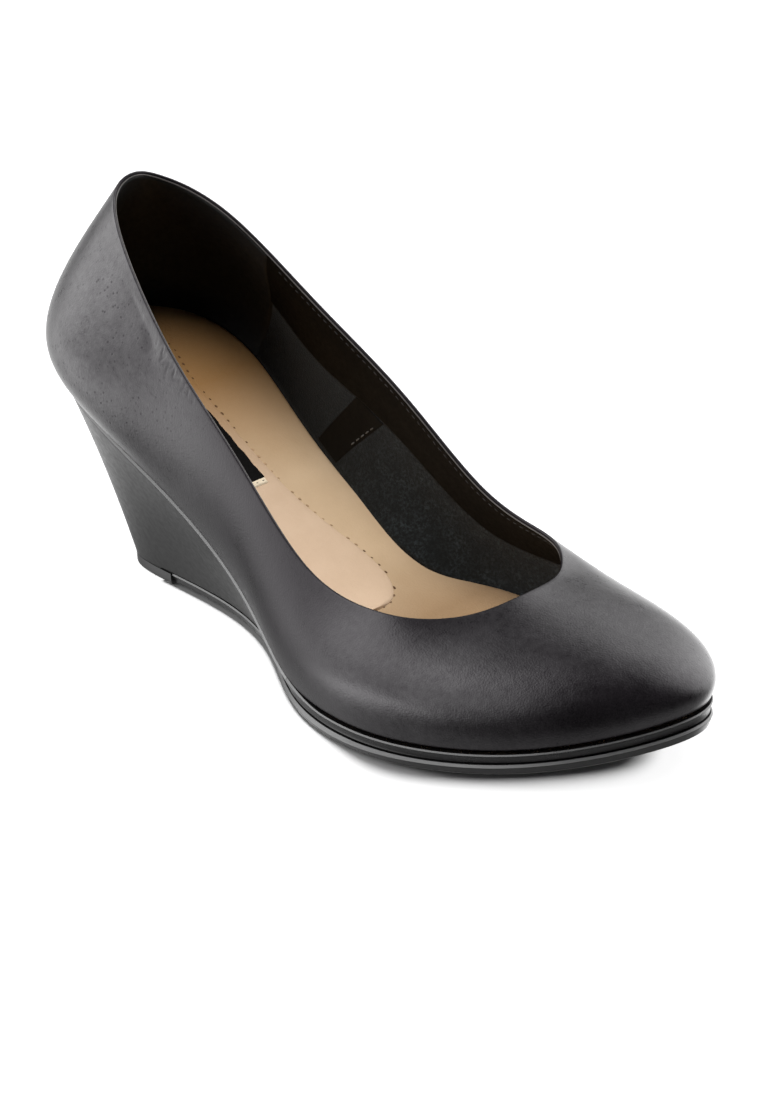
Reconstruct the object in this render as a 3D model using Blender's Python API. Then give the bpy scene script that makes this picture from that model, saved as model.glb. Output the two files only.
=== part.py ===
# Closed-toe wedge court shoe for the right foot: leather upper, insole, covered wedge, platform strip,
# rubber outsole and heel lift. Sizes are worked out in millimetres and turned into metres at the end.
# +X runs from heel to toe, +Y to the wearer's left, +Z up, and the shoe stands on the floor at z = 0.
from math import pi, radians

import bmesh
import bpy
import numpy as np
from mathutils import Matrix, Vector

# Driving sizes of the last and the sole, in millimetres
LENGTH = 236.5           # toe tip, measured from the start of the length scale behind the heel
BALL_WIDTH = 84.0        # width of the feather line at the ball
HEEL_HEIGHT = 72.0       # feather line above the floor at the very back
BACK_HEIGHT = 51.5       # topline above the feather line at the very back
FOREFOOT_THICKNESS = 7.5 # floor to feather line under the ball
TREAD_START = 125.0      # where the straight shank would meet the forefoot
SHANK_BEND = 4.5         # softness of the bend from shank to forefoot
SEAT_END = 45.0          # front of the heel seat
SEAT_DROP = 4.75         # how far the seat flattens below the line of the shank at the very back
TOE_SPRING = 11.0        # lift of the sole at the toe tip
SPRING_START = 160.0     # where the sole leaves the floor
TOE_SWING = 8.0          # sideways lean of the toe tip towards the big toe
WAIST_BOW = 18.0         # sideways bow of the centreline at the waist

# Thicknesses and clearances, in millimetres
WALL = 1.8               # leather with its lining
INSOLE_THICKNESS = 2.5
INSOLE_MARGIN = 0.5      # air between the insole and the wall
INSOLE_FLARE = 0.75      # share of the wall's lean that the insole's edge takes up
OUTSOLE_THICKNESS = 3.0
LIFT_STEP = 0.7          # the heel lift stands this much lower than the outsole in front of it
LIFT_FRONT = 43.0        # front end of the heel lift
WEDGE_FRONT = 128.0      # joint between wedge and platform strip
LEDGE = 0.8              # the sole unit stands out this far round the upper
WEDGE_HOLLOW = 1.2       # hollow of the wedge's side at its tallest
GAP = 0.3                # clearance between pieces that touch

STEPS = 6                # points between two ribs round the shoe
WALL_ROWS = 12           # strips of the wall from feather line to topline
SHARP_ANGLE = radians(40)

# One row for each rib of the last, from the heel back to the toe tip, the same on both sides.
# along, top_along, floor_along: per cent of LENGTH; half_width, top_half, floor_half: per cent of half the
# BALL_WIDTH; rise: per cent of BACK_HEIGHT. The swell leaves the feather line outwards and upwards and the
# lip arrives at the topline from outwards and below, in millimetres.
RIB_COLUMNS = ("name", "along", "half_width", "top_along", "top_half", "rise",
               "swell_out", "swell_up", "lip_out", "lip_down", "floor_along", "floor_half")
RIBS = (
    ("heel_back", 0.6, 0, 9.8, 0, 99.5, 9.5, 16.5, 12, 15.5, 7.8, 0),
    ("heel_corner", 3.7, 48.5, 11, 22, 99, 11.5, 13.5, 15, 21, 9.3, 26),
    ("heel_side", 13, 72.5, 18, 47, 97, 15.5, 17, 7.5, 19, 16.6, 33),
    ("rear_waist", 27, 66, 30.4, 64.5, 88.5, 8, 17, 5, 16, 28.8, 34),
    ("waist", 41.5, 68, 44.4, 74.5, 84, 5.5, 16, 4, 14, 41.4, 50),
    ("fore_waist", 54.5, 89, 57.3, 80, 69.5, 5, 16, 5, 12, 54.5, 87),
    ("ball", 67.6, 100, 68, 76, 61, 5, 15, 9.5, 10, 67.7, 101),
    ("toe_side", 81.6, 87, 73.4, 59, 55, 5, 14, 16, 8.5, 81.6, 87),
    ("toe_corner", 93.4, 57, 76.6, 33.5, 46, 6, 15, 22, 6.5, 93.4, 56),
    ("toe_tip", 100, 0, 77.8, 0, 40.5, 8.5, 16.5, 27, 5.5, 100.2, 0),
)

# Side of the platform strip from top to bottom: share of its height, and how far it stands out in millimetres
PLATFORM_SIDE = ((0.0, 0.0), (0.14, 0.5), (0.5, 0.2), (0.82, 0.3), (1.0, -0.3))
# Side of the outsole from top to bottom: share of its height, and how far it stands out in millimetres
OUTSOLE_SIDE = ((0.0, -0.3), (0.25, 0.3), (0.6, 0.1), (1.0, -0.4))

# name: base colour, roughness
FINISHES = {
    "upper": ((0.018, 0.017, 0.018), 0.42),
    "insole": ((0.60, 0.43, 0.28), 0.70),
    "wedge": ((0.022, 0.022, 0.022), 0.38),
    "platform": ((0.016, 0.016, 0.016), 0.45),
    "outsole": ((0.014, 0.014, 0.014), 0.60),
    "heel_lift": ((0.010, 0.010, 0.010), 0.65),
}


def clear_scene():
    for item in list(bpy.data.objects):
        bpy.data.objects.remove(item, do_unlink=True)


def column(name, side_sign=False):
    # One table column round the whole shoe: right side from heel to toe, then the left side back to the heel
    index = RIB_COLUMNS.index(name)
    half = np.array([row[index] for row in RIBS], dtype=float)
    right_sign = -1.0 if side_sign else 1.0
    return np.concatenate([right_sign * half, half[-2:0:-1]])


def ring_spline(values):
    # Closed cubic curve through the ribs, with STEPS points from each rib to the next
    count = len(values)
    before = np.roll(values, 1)
    after = np.roll(values, -1)
    system = 4.0 * np.eye(count) + np.roll(np.eye(count), 1, 0) + np.roll(np.eye(count), -1, 0)
    slope = np.linalg.solve(system, 3.0 * (after - before))
    t = np.arange(STEPS) / STEPS
    start = np.outer(values, 2 * t**3 - 3 * t**2 + 1) + np.outer(slope, t**3 - 2 * t**2 + t)
    end = np.outer(after, 3 * t**2 - 2 * t**3) + np.outer(np.roll(slope, -1), t**3 - t**2)
    return (start + end).ravel()


def swing(along):
    # Sideways curve of the last's centreline
    x = along / LENGTH
    return (TOE_SWING + WAIST_BOW) * x**4 - WAIST_BOW * x**2


def spring(along):
    # Lift of the sole in front of the ball
    ahead = np.clip((along - SPRING_START) / (LENGTH - SPRING_START), 0.0, None)
    return TOE_SPRING * ahead**2


def feather_height(along):
    # Straight shank that bends softly into the forefoot and flattens into the heel seat
    slope = (HEEL_HEIGHT - FOREFOOT_THICKNESS + SEAT_DROP) / TREAD_START
    shank = slope * SHANK_BEND * np.logaddexp(0.0, (TREAD_START - along) / SHANK_BEND)
    seat = SEAT_DROP * np.clip((SEAT_END - along) / SEAT_END, 0.0, None)**2
    return FOREFOOT_THICKNESS + spring(along) + shank - seat


def outsole_bottom(along):
    # Clear of the floor just in front of the heel lift, down on it at the forefoot, up again at the toe
    ahead = np.clip((along - LIFT_FRONT) / (TREAD_START - LIFT_FRONT), 0.0, 1.0)
    return LIFT_STEP * (0.5 + 0.5 * np.cos(pi * ahead)) + spring(along)


def unit_bottom(along):
    # Underside of wedge and platform
    return outsole_bottom(along) + OUTSOLE_THICKNESS + GAP


def outline(along_name, half_name):
    along = ring_spline(column(along_name)) * LENGTH / 100
    across = ring_spline(column(half_name, side_sign=True)) * BALL_WIDTH / 200
    return np.stack([along, across + swing(along)], axis=1)


def outward(plan):
    # Unit vectors square to a plan outline, pointing away from the shoe
    run = np.roll(plan, -1, 0) - np.roll(plan, 1, 0)
    run /= np.linalg.norm(run, axis=1)[:, None]
    return np.stack([run[:, 1], -run[:, 0]], axis=1)


def raised(plan, height):
    return np.column_stack([plan, height])


FEATHER = outline("along", "half_width")
FEATHER_OUT = outward(FEATHER)
FLOOR = outline("floor_along", "floor_half")
FLOOR_OUT = outward(FLOOR)


def wall_surface():
    # Outer face of the upper: one Bezier rib from feather line to topline at every point round the shoe
    foot = raised(FEATHER, feather_height(FEATHER[:, 0]))
    rib_foot = feather_height(column("along") * LENGTH / 100)
    top_height = ring_spline(rib_foot + column("rise") * BACK_HEIGHT / 100)
    top = raised(outline("top_along", "top_half"), top_height)
    out = raised(FEATHER_OUT, 0.0 * FEATHER_OUT[:, 0])
    up = np.array([0.0, 0.0, 1.0])
    swell = foot + out * ring_spline(column("swell_out"))[:, None] + up * ring_spline(column("swell_up"))[:, None]
    lip = top + out * ring_spline(column("lip_out"))[:, None] - up * ring_spline(column("lip_down"))[:, None]
    v = np.linspace(0.0, 1.0, WALL_ROWS + 1)[:, None, None]
    return (1 - v)**3 * foot + 3 * (1 - v)**2 * v * swell + 3 * (1 - v) * v**2 * lip + v**3 * top


def wall_normals(wall):
    around = np.roll(wall, -1, 1) - np.roll(wall, 1, 1)
    upward = np.gradient(wall, axis=0)
    normal = np.cross(around, upward)
    return normal / np.linalg.norm(normal, axis=2)[:, :, None]


def upper_rings():
    # Outer face up to the topline, then the inner face back down to a flat lower edge
    outer = wall_surface()
    inner = outer - WALL * wall_normals(outer)
    edge = FEATHER - WALL * FEATHER_OUT
    inner[0] = raised(edge, feather_height(edge[:, 0]))
    return np.concatenate([outer, inner[::-1]])


def insole_rings():
    # The insole follows the wall outwards as it rises from the feather line
    flare = INSOLE_THICKNESS * ring_spline(column("swell_out")) / ring_spline(column("swell_up"))
    low = FEATHER - (WALL + INSOLE_MARGIN) * FEATHER_OUT
    high = low + INSOLE_FLARE * flare[:, None] * FEATHER_OUT
    return np.stack([raised(high, feather_height(high[:, 0]) + INSOLE_THICKNESS),
                     raised(low, feather_height(low[:, 0]))])


def unit_rings():
    # Wedge and platform as one form: feather outline with its ledge above, floor outline below
    high = FEATHER + LEDGE * FEATHER_OUT
    low = FLOOR - LEDGE * FLOOR_OUT
    top_height = feather_height(high[:, 0]) - GAP
    low_height = unit_bottom(low[:, 0])
    tallness = np.clip((top_height - low_height) / HEEL_HEIGHT, 0.0, 1.0)
    forefoot = np.clip((FEATHER[:, 0] - WEDGE_FRONT) / (SPRING_START - WEDGE_FRONT), 0.0, 1.0)
    rings = []
    for share, stand_out in PLATFORM_SIDE:
        hollow = 4 * share * (1 - share) * WEDGE_HOLLOW * tallness
        plan = (1 - share) * high + share * low
        plan = plan + (stand_out * forefoot - hollow)[:, None] * FEATHER_OUT
        rings.append(raised(plan, (1 - share) * top_height + share * low_height))
    return np.stack(rings)


def slab_rings(bottom_height, thickness):
    # Flat rubber under the floor outline, with its rounded side
    rings = []
    for share, stand_out in OUTSOLE_SIDE:
        plan = FLOOR + stand_out * FLOOR_OUT
        rings.append(raised(plan, bottom_height(plan[:, 0]) + (1 - share) * thickness))
    return np.stack(rings)


def strip_faces(rows, columns):
    # Quads between neighbouring rings
    faces = []
    for row in range(rows - 1):
        for here in range(columns):
            ahead = (here + 1) % columns
            faces.append((row * columns + here, row * columns + ahead,
                          (row + 1) * columns + ahead, (row + 1) * columns + here))
    return faces


def ladder_faces(first, columns):
    # Rungs that close a ring from its right side to its left side, heel to toe
    toe = columns // 2
    faces = [(first, first + 1, first + columns - 1)]
    for here in range(1, toe - 1):
        faces.append((first + here, first + here + 1, first + columns - here - 1, first + columns - here))
    faces.append((first + toe - 1, first + toe, first + toe + 1))
    return faces


def new_mesh(rings, faces):
    form = bmesh.new()
    corners = [form.verts.new(Vector(point)) for point in rings.reshape(-1, 3)]
    for face in faces:
        form.faces.new([corners[index] for index in face])
    bmesh.ops.recalc_face_normals(form, faces=form.faces)
    return form


def shell(rings):
    # Closed wall: the last ring joins the first
    rows, columns, _ = rings.shape
    faces = strip_faces(rows, columns)
    last = (rows - 1) * columns
    for here in range(columns):
        ahead = (here + 1) % columns
        faces.append((last + here, last + ahead, ahead, here))
    return new_mesh(rings, faces)


def solid(rings):
    # Closed block: rings for the side, rungs for its top and bottom
    rows, columns, _ = rings.shape
    faces = strip_faces(rows, columns)
    faces += ladder_faces(0, columns)
    faces += ladder_faces((rows - 1) * columns, columns)
    return new_mesh(rings, faces)


def cut_across(form, along, keep_front):
    # Keeps one side of a plane across the shoe and closes the cut
    facing = -1.0 if keep_front else 1.0
    everything = list(form.verts) + list(form.edges) + list(form.faces)
    cut = bmesh.ops.bisect_plane(form, geom=everything, plane_co=(along, 0.0, 0.0),
                                 plane_no=(facing, 0.0, 0.0), clear_outer=True)
    rim = [item for item in cut["geom_cut"] if isinstance(item, bmesh.types.BMEdge)]
    bmesh.ops.edgeloop_fill(form, edges=rim)
    bmesh.ops.recalc_face_normals(form, faces=form.faces)
    return form


def finish(name):
    colour, roughness = FINISHES[name]
    material = bpy.data.materials.new(name + "_finish")
    material.use_nodes = True
    shader = material.node_tree.nodes["Principled BSDF"]
    shader.inputs["Base Color"].default_value = (*colour, 1.0)
    shader.inputs["Roughness"].default_value = roughness
    shader.inputs["Metallic"].default_value = 0.0
    return material


def add_piece(name, form, parent):
    mesh = bpy.data.meshes.new(name)
    form.to_mesh(mesh)
    form.free()
    mesh.shade_smooth()
    mesh.set_sharp_from_angle(angle=SHARP_ANGLE)
    mesh.materials.append(finish(name))
    piece = bpy.data.objects.new(name, mesh)
    piece.parent = parent
    bpy.context.scene.collection.objects.link(piece)
    return piece


def place(pieces):
    # Metres, with the origin on the floor under the middle of the whole shoe
    points = np.array([corner.co for piece in pieces for corner in piece.data.vertices])
    lowest = points.min(0)
    highest = points.max(0)
    middle = Vector((*((lowest + highest) / 2)[:2], lowest[2]))
    for piece in pieces:
        piece.data.transform(Matrix.Scale(0.001, 4) @ Matrix.Translation(-middle))


def main():
    clear_scene()
    shoe = bpy.data.objects.new("wedge_shoe", None)
    bpy.context.scene.collection.objects.link(shoe)
    lift_height = LIFT_STEP + OUTSOLE_THICKNESS
    forms = {
        "upper": shell(upper_rings()),
        "insole": solid(insole_rings()),
        "wedge": cut_across(solid(unit_rings()), WEDGE_FRONT - GAP / 2, keep_front=False),
        "platform": cut_across(solid(unit_rings()), WEDGE_FRONT + GAP / 2, keep_front=True),
        "outsole": cut_across(solid(slab_rings(outsole_bottom, OUTSOLE_THICKNESS)),
                              LIFT_FRONT + GAP / 2, keep_front=True),
        "heel_lift": cut_across(solid(slab_rings(np.zeros_like, lift_height)),
                                LIFT_FRONT - GAP / 2, keep_front=False),
    }
    place([add_piece(name, form, shoe) for name, form in forms.items()])


main()
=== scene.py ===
import bmesh
import bpy
import numpy as np
from mathutils import Matrix, Vector


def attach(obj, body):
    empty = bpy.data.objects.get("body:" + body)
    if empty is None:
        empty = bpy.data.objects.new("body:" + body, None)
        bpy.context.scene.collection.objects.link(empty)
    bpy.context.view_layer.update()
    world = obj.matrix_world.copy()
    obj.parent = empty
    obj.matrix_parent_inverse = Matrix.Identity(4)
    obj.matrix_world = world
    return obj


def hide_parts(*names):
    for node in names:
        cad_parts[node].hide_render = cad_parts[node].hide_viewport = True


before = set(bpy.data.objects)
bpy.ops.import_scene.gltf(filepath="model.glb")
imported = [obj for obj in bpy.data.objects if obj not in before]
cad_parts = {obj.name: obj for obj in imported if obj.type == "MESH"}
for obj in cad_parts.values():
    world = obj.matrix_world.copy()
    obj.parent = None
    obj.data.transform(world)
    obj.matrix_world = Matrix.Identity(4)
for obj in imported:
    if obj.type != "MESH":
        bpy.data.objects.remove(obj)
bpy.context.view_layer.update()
print("frame loaded:", ", ".join(sorted(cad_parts)))

# the last, in millimetres from behind the heel, with the ribs and rules of the solids
last = {
    "length": 236.5, "ballHalf": 42.0, "backHeight": 51.5,
    "heelHeight": 72.0, "forefoot": 7.5, "treadStart": 125.0, "shankBend": 4.5,
    "seatEnd": 45.0, "seatDrop": 4.75, "toeSpring": 11.0, "springStart": 160.0,
    "toeSwing": 8.0, "waistBow": 18.0, "wall": 1.8, "edge": 1.0, "skive": 10.0,
    "origin": (118.35, -2.82, 0.0),  # middle of the shoe on the floor
}
arch = {"rib": 13.6, "ahead": 0.5, "behind": 0.62, "depth": 5.6, "height": 0.45}  # far wall bulging in
ribNames = ("footAlong", "footHalf", "topAlong", "topHalf", "rise",
            "swellOut", "swellUp", "lipOut", "lipDown", "treadAlong", "treadHalf")
ribs = np.array([  # heel back to toe tip, per cent for the first five and last two, millimetres between
    (0.6, 0, 9.8, 0, 99.5, 9.5, 16.5, 12, 15.5, 7.8, 0),
    (3.7, 48.5, 11, 22, 99, 11.5, 13.5, 15, 21, 9.3, 26),
    (13, 72.5, 18, 47, 97, 15.5, 17, 7.5, 19, 16.6, 33),
    (27, 66, 30.4, 64.5, 88.5, 8, 17, 5, 16, 28.8, 34),
    (41.5, 68, 44.4, 74.5, 84, 5.5, 16, 4, 14, 41.4, 50),
    (54.5, 89, 57.3, 80, 69.5, 5, 16, 5, 12, 54.5, 87),
    (67.6, 100, 68, 76, 61, 5, 15, 9.5, 10, 67.7, 101),
    (81.6, 87, 73.4, 59, 55, 5, 14, 16, 8.5, 81.6, 87),
    (93.4, 57, 76.6, 33.5, 46, 6, 15, 22, 6.5, 93.4, 56),
    (100, 0, 77.8, 0, 40.5, 8.5, 16.5, 27, 5.5, 100.2, 0),
])
ribCount = 2 * len(ribs) - 2  # near side out to the toe, far side back to the heel


def ribColumn(name, mirrored=False):
    # one rib value right round: near side from heel to toe, then far side back;
    # mirrored makes a width negative on the near side
    half = ribs[:, ribNames.index(name)]
    return np.concatenate([-half if mirrored else half, half[-2:0:-1]])


def throughRibs(values, u):
    # closed cubic through the ribs, Hermite between them; the slopes solve
    # "before + 4 here + after = 3 (next - previous)"
    after = np.roll(values, -1)
    turn = np.eye(ribCount)
    system = 4 * turn + np.roll(turn, 1, 0) + np.roll(turn, -1, 0)
    slope = np.linalg.solve(system, 3 * (after - np.roll(values, 1)))
    i = np.floor(u).astype(int) % ribCount
    t = u - np.floor(u)
    start = values[i] * (2 * t**3 - 3 * t**2 + 1) + slope[i] * (t**3 - 2 * t**2 + t)
    return start + after[i] * (3 * t**2 - 2 * t**3) + np.roll(slope, -1)[i] * (t**3 - t**2)


def blend(start, end, share):
    # from start to end by a share between 0 and 1
    return start + (end - start) * share


def smoothStep(x, start, end):
    # 0 before start and 1 after end, with an even slope at both
    t = np.clip((x - start) / (end - start), 0, 1)
    return t * t * (3 - 2 * t)


def swing(along):
    # sideways lean of the centreline: fourth power towards the big toe less a bow at the waist
    x = along / last["length"]
    return (last["toeSwing"] + last["waistBow"]) * x**4 - last["waistBow"] * x**2


def spring(along):
    # lift of the sole ahead of the ball, growing with the square
    ahead = np.clip((along - last["springStart"]) / (last["length"] - last["springStart"]), 0, None)
    return last["toeSpring"] * ahead**2


def featherHeight(along):
    # straight shank, softly bent into the forefoot and flattened into the heel seat
    slope = (last["heelHeight"] - last["forefoot"] + last["seatDrop"]) / last["treadStart"]
    shank = slope * last["shankBend"] * np.logaddexp(0, (last["treadStart"] - along) / last["shankBend"])
    seat = last["seatDrop"] * np.clip((last["seatEnd"] - along) / last["seatEnd"], 0, None)**2
    return last["forefoot"] + spring(along) + shank - seat


def planLine(alongName, halfName, u):
    # closed line in plan: place along and half width through the ribs, leaning with the centreline
    along = throughRibs(ribColumn(alongName), u) * last["length"] / 100
    across = throughRibs(ribColumn(halfName, True), u) * last["ballHalf"] / 100
    return np.stack([along, across + swing(along)], -1)


def featherLine(u):
    # where the upper meets the sole
    return planLine("footAlong", "footHalf", u)


def treadLine(u):
    # outline of the tread
    return planLine("treadAlong", "treadHalf", u)


def planOut(line, u):
    # unit vector square to a plan line and away from the shoe, from a sixth of a rib either way
    run = line(u + 1 / 6) - line(u - 1 / 6)
    run = run / np.linalg.norm(run, axis=-1, keepdims=True)
    return np.stack([run[..., 1], -run[..., 0]], -1)


def raised(plan, height):
    # plan points with a height as third coordinate
    return np.concatenate([plan, np.broadcast_to(height, plan.shape[:-1])[..., None]], -1)


def wallPoint(u, v):
    # one cubic Bezier rib at each u from foot, swell, lip and top;
    # v is 0 at the feather line and 1 at the topline
    u, v = np.broadcast_arrays(u, v)
    plan = featherLine(u)
    foot = raised(plan, featherHeight(plan[..., 0]))
    ribFoot = featherHeight(ribColumn("footAlong") * last["length"] / 100)
    ribTop = ribFoot + ribColumn("rise") * last["backHeight"] / 100
    top = raised(planLine("topAlong", "topHalf", u), throughRibs(ribTop, u))
    out = raised(planOut(featherLine, u), 0.0)
    up = np.array([0.0, 0.0, 1.0])
    swell = foot + out * throughRibs(ribColumn("swellOut"), u)[..., None]
    swell = swell + up * throughRibs(ribColumn("swellUp"), u)[..., None]
    lip = top + out * throughRibs(ribColumn("lipOut"), u)[..., None]
    lip = lip - up * throughRibs(ribColumn("lipDown"), u)[..., None]
    v = v[..., None]
    return (1 - v)**3 * foot + 3 * (1 - v)**2 * v * swell + 3 * (1 - v) * v**2 * lip + v**3 * top


def unit(vectors):
    # each vector divided by its length
    return vectors / np.linalg.norm(vectors, axis=-1, keepdims=True)


def wallFrame(u, v, step=0.02):
    # outward normal and upward direction of the wall, from small steps round and up
    around = wallPoint(u + step, v) - wallPoint(u - step, v)
    upward = wallPoint(u, v + step) - wallPoint(u, v - step)
    return unit(np.cross(around, upward)), unit(upward)


def ribLength(u):
    # length of the wall from feather line to topline, summed over 24 short chords
    v = np.linspace(0, 1, 25)[:, None]
    return np.linalg.norm(np.diff(wallPoint(u[None, :], v), axis=0), axis=-1).sum(0)


ribTable = np.linspace(0, ribCount, 361)
ribSpans = ribLength(ribTable)


def spanAt(u):
    # wall length at any u, read between the steps of the table
    return np.interp(u % ribCount, ribTable, ribSpans)


def archFill(u, v):
    # the far wall comes in at the arch: a bell over the ribs that fades out by less than half height
    reach = np.where(u % ribCount > arch["rib"], arch["behind"], arch["ahead"])
    bell = np.exp(-((u % ribCount - arch["rib"]) / reach)**2)
    return arch["depth"] * bell * np.clip(1 - v / arch["height"], 0, 1)**2


def innerPoint(u, v, depth):
    # a place on the inside of the wall, depth further in than the leather's inner face;
    # the leather is skived thinner towards the folded topline
    normal = wallFrame(u, v)[0]
    skived = blend(last["edge"], last["wall"], smoothStep((1 - v) * spanAt(u), 0, last["skive"]))
    filled = raised(planOut(featherLine, u), 0.0) * archFill(u, v)[..., None]
    return wallPoint(u, v) - filled - (skived + depth)[..., None] * normal


def roundFaces(rows, columns, closedRows=False):
    # quads of a grid that runs right round; closedRows joins its last row to its first as well
    r = np.arange(rows if closedRows else rows - 1)[:, None]
    c = np.arange(columns)
    nextRow, nextColumn = (r + 1) % rows * columns, (c + 1) % columns
    corners = [r * columns + c, r * columns + nextColumn, nextRow + nextColumn, nextRow + c]
    return np.stack(corners, -1).reshape(-1, 4)


def sheetFaces(rows, columns):
    # quads of an open grid
    r = np.arange(rows - 1)[:, None] * columns
    c = np.arange(columns - 1)
    corners = [r + c, r + c + 1, r + columns + c + 1, r + columns + c]
    return np.stack(corners, -1).reshape(-1, 4)


def closedSheet(front, back):
    # two equal grids, the back one turned round, with the rims joined
    rows, columns, _ = front.shape
    size = rows * columns
    ids = np.arange(size).reshape(rows, columns)
    rim = np.concatenate([ids[0, :-1], ids[:-1, -1], ids[-1, :0:-1], ids[:0:-1, 0]])
    ahead = np.roll(rim, -1)
    side = np.stack([ahead, rim, rim + size, ahead + size], -1)
    flat = sheetFaces(rows, columns)
    points = np.concatenate([front.reshape(-1, 3), back.reshape(-1, 3)])
    return points, np.concatenate([flat, flat[:, ::-1] + size, side])


def rungFaces(first, columns):
    # quads across a closed ring from its near side to its far side
    k = np.arange(columns // 2)
    back = columns - k
    return first + np.stack([k, k + 1, back - 1, back % columns], -1)


def addObject(name, data):
    # new object in the scene, at the origin
    item = bpy.data.objects.new(name, data)
    bpy.context.scene.collection.objects.link(item)
    return item


def newPiece(name, points, faces, material, standsFor=None, mattAndPaintedHighlight=None):
    # metres, doubles merged, smooth, riding on the one body;
    # the last argument is 1 on the unpolished parts of the upper and on sole bevels painted a lighter grey
    # as a painted highlight
    mesh = bpy.data.meshes.new(name)
    places = (points.reshape(-1, 3) - np.array(last["origin"])) / 1000
    mesh.from_pydata(places.tolist(), [], faces.tolist())
    if mattAndPaintedHighlight is not None:
        mesh.attributes.new("mattAndPaintedHighlight", "FLOAT", "POINT").data.foreach_set("value", mattAndPaintedHighlight.ravel())
    form = bmesh.new()
    form.from_mesh(mesh)
    bmesh.ops.remove_doubles(form, verts=form.verts, dist=1e-6)
    bmesh.ops.dissolve_degenerate(form, edges=form.edges, dist=1e-7)
    form.to_mesh(mesh)
    form.free()
    mesh.shade_smooth()
    mesh.materials.append(material)
    piece = addObject(name, mesh)
    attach(piece, "root")
    if standsFor:
        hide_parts(standsFor)
    print("made", name, len(mesh.polygons), "faces")
    return piece


def cutAcross(piece, along, keepFront):
    # keeps one side of a plane across the shoe and closes the cut
    form = bmesh.new()
    form.from_mesh(piece.data)
    spot = ((along - last["origin"][0]) / 1000, 0, 0)
    everything = list(form.verts) + list(form.edges) + list(form.faces)
    cut = bmesh.ops.bisect_plane(form, geom=everything, plane_co=spot,
                                 plane_no=(-1 if keepFront else 1, 0, 0), clear_outer=True)
    rim = [item for item in cut["geom_cut"] if isinstance(item, bmesh.types.BMEdge)]
    bmesh.ops.edgeloop_fill(form, edges=rim)
    bmesh.ops.recalc_face_normals(form, faces=form.faces)
    form.to_mesh(piece.data)
    form.free()
    piece.data.shade_smooth()
    piece.data.set_sharp_from_angle(angle=0.7)


def startFinish(name, colour, roughness):
    # new material with one colour and roughness all over
    material = bpy.data.materials.new(name)
    material.use_nodes = True
    tree = material.node_tree
    shader = tree.nodes["Principled BSDF"]
    shader.inputs["Base Color"].default_value = (*colour, 1)
    shader.inputs["Roughness"].default_value = roughness
    return material, tree, shader


def addNode(tree, kind, links=None, values=None, **options):
    # one shader node with its options, socket values and links
    node = tree.nodes.new("ShaderNode" + kind)
    for option, value in options.items():
        setattr(node, option, value)
    for socket, value in (values or {}).items():
        node.inputs[socket].default_value = value
    for socket, source in (links or {}).items():
        tree.links.new(source, node.inputs[socket])
    return node


def place(tree):
    # coordinates on the piece, in metres
    return addNode(tree, "TexCoord").outputs["Object"]


def alongShoe(tree):
    # metres ahead of the middle of the shoe
    return addNode(tree, "SeparateXYZ", {"Vector": place(tree)}).outputs["X"]


def noise(tree, scale, detail=3.0, rough=0.5):
    # soft noise, scale in waves to the metre
    values = {"Scale": scale, "Detail": detail, "Roughness": rough}
    return addNode(tree, "TexNoise", {"Vector": place(tree)}, values).outputs["Fac"]


def cells(tree, scale):
    # distance to the nearest cell middle, scale in cells to the metre
    return addNode(tree, "TexVoronoi", {"Vector": place(tree)}, {"Scale": scale}).outputs["Distance"]


def remap(tree, value, low, high, toLow=0.0, toHigh=1.0, kind="LINEAR"):
    # one range of values mapped to another and held at its ends
    values = {"From Min": low, "From Max": high, "To Min": toLow, "To Max": toHigh}
    return addNode(tree, "MapRange", {"Value": value}, values, interpolation_type=kind).outputs["Result"]


def combine(tree, operation, first, second):
    # arithmetic on two values, each a number or a socket
    node = addNode(tree, "Math", operation=operation)
    for socket, part in zip(node.inputs, (first, second)):
        if isinstance(part, (int, float)):
            socket.default_value = part
        else:
            tree.links.new(part, socket)
    return node.outputs[0]


def mixColour(tree, share, first, second):
    # first colour towards the second by a share, each fixed or a socket
    node = addNode(tree, "Mix", {"Factor": share}, data_type="RGBA")
    sockets = [s for s in node.inputs if s.type == "RGBA"]
    for socket, part in zip(sockets, (first, second)):
        if isinstance(part, tuple):
            socket.default_value = (*part, 1)
        else:
            tree.links.new(part, socket)
    return [s for s in node.outputs if s.type == "RGBA"][0]


def pressed(tree, height, depth, under=None):
    # bump of the given depth in metres on top of another bump
    links = {"Height": height}
    if under is not None:
        links["Normal"] = under
    return addNode(tree, "Bump", links, {"Strength": 1.0, "Distance": depth}).outputs["Normal"]


# black leather of the upper: a matt face under a mottled coat, thick on heel and toe and thin at the waist,
# with fine grain, faint streaks down the wall and open pores on the heel quarter
leather = {
    "colour": (0.0050, 0.0041, 0.0050), "cloud": (0.0078, 0.0064, 0.0078), "cloudScale": 70.0,
    "fineScale": 520.0, "shine": 0.25, "tint": (1.0, 0.93, 1.0, 1.0), "gloss": (0.22, 0.44), "dull": 0.65,
    "mottle": (0.45, 1.55), "coatRough": 0.30,
    "poreScale": 520.0, "poreDepth": 0.00004, "patchScale": 75.0, "patchFade": (-0.005, -0.045),
    "grainScale": 1900.0, "grainDepth": 0.000028, "waveScale": 60.0, "waveDepth": 0.00012,
    "streakScale": (1500.0, 1500.0, 160.0), "streakDepth": 0.000034, "streakFade": (-0.02, 0.03, 1.0, 0.45),
    "coat": ((-0.10, 0.55), (-0.08, 0.68), (-0.05, 0.42), (-0.015, 0.15),
             (0.02, 0.11), (0.045, 0.38), (0.075, 0.66), (0.11, 0.56)),  # metres along the shoe, weight
}


def streaks(tree):
    # noise drawn out upwards: many waves to the metre across, few in height
    stretch = addNode(tree, "Mapping", {"Vector": place(tree)}, {"Scale": leather["streakScale"]})
    values = {"Scale": 1.0, "Detail": 2.0, "Roughness": 0.5}
    return addNode(tree, "TexNoise", {"Vector": stretch.outputs["Vector"]}, values).outputs["Fac"]


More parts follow.
